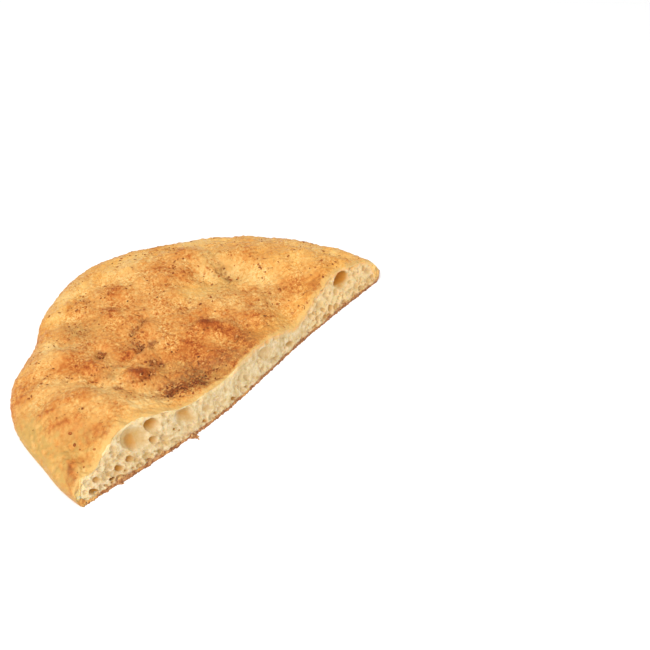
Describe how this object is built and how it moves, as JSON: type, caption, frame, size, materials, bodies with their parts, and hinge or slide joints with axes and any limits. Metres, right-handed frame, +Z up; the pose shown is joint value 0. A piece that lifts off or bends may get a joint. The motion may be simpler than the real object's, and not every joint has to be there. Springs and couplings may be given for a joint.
{
  "type": "oregano focaccia",
  "caption": "Half of a round, hand-dimpled flatbread with golden crust, toasted oregano in its hollows and an open-celled crumb on the long slanted cut face.",
  "frame": {"origin": "on the ground plane under the centre of the half loaf's bounding box", "axes": "+Z up through the top crust; +X along the cut from the near tip, beside the high shoulder, to the far tip; -Y is where the cut face looks"},
  "size_m": [0.2609, 0.1413, 0.0275],
  "materials": {
    "crust": "baked golden-yellow crust with orange-brown blisters, satin from oil; matte plastic stands in for bread crust",
    "crumb": "cream-coloured porous crumb with smooth-walled cells, matt; matte plastic stands in for bread crumb",
    "oregano": "dried and toasted oregano leaf, matt; matte plastic stands in for dried herb"
  },
  "bodies": {
    "root": {"focaccia": "crust"}
  },
  "joints": []
}
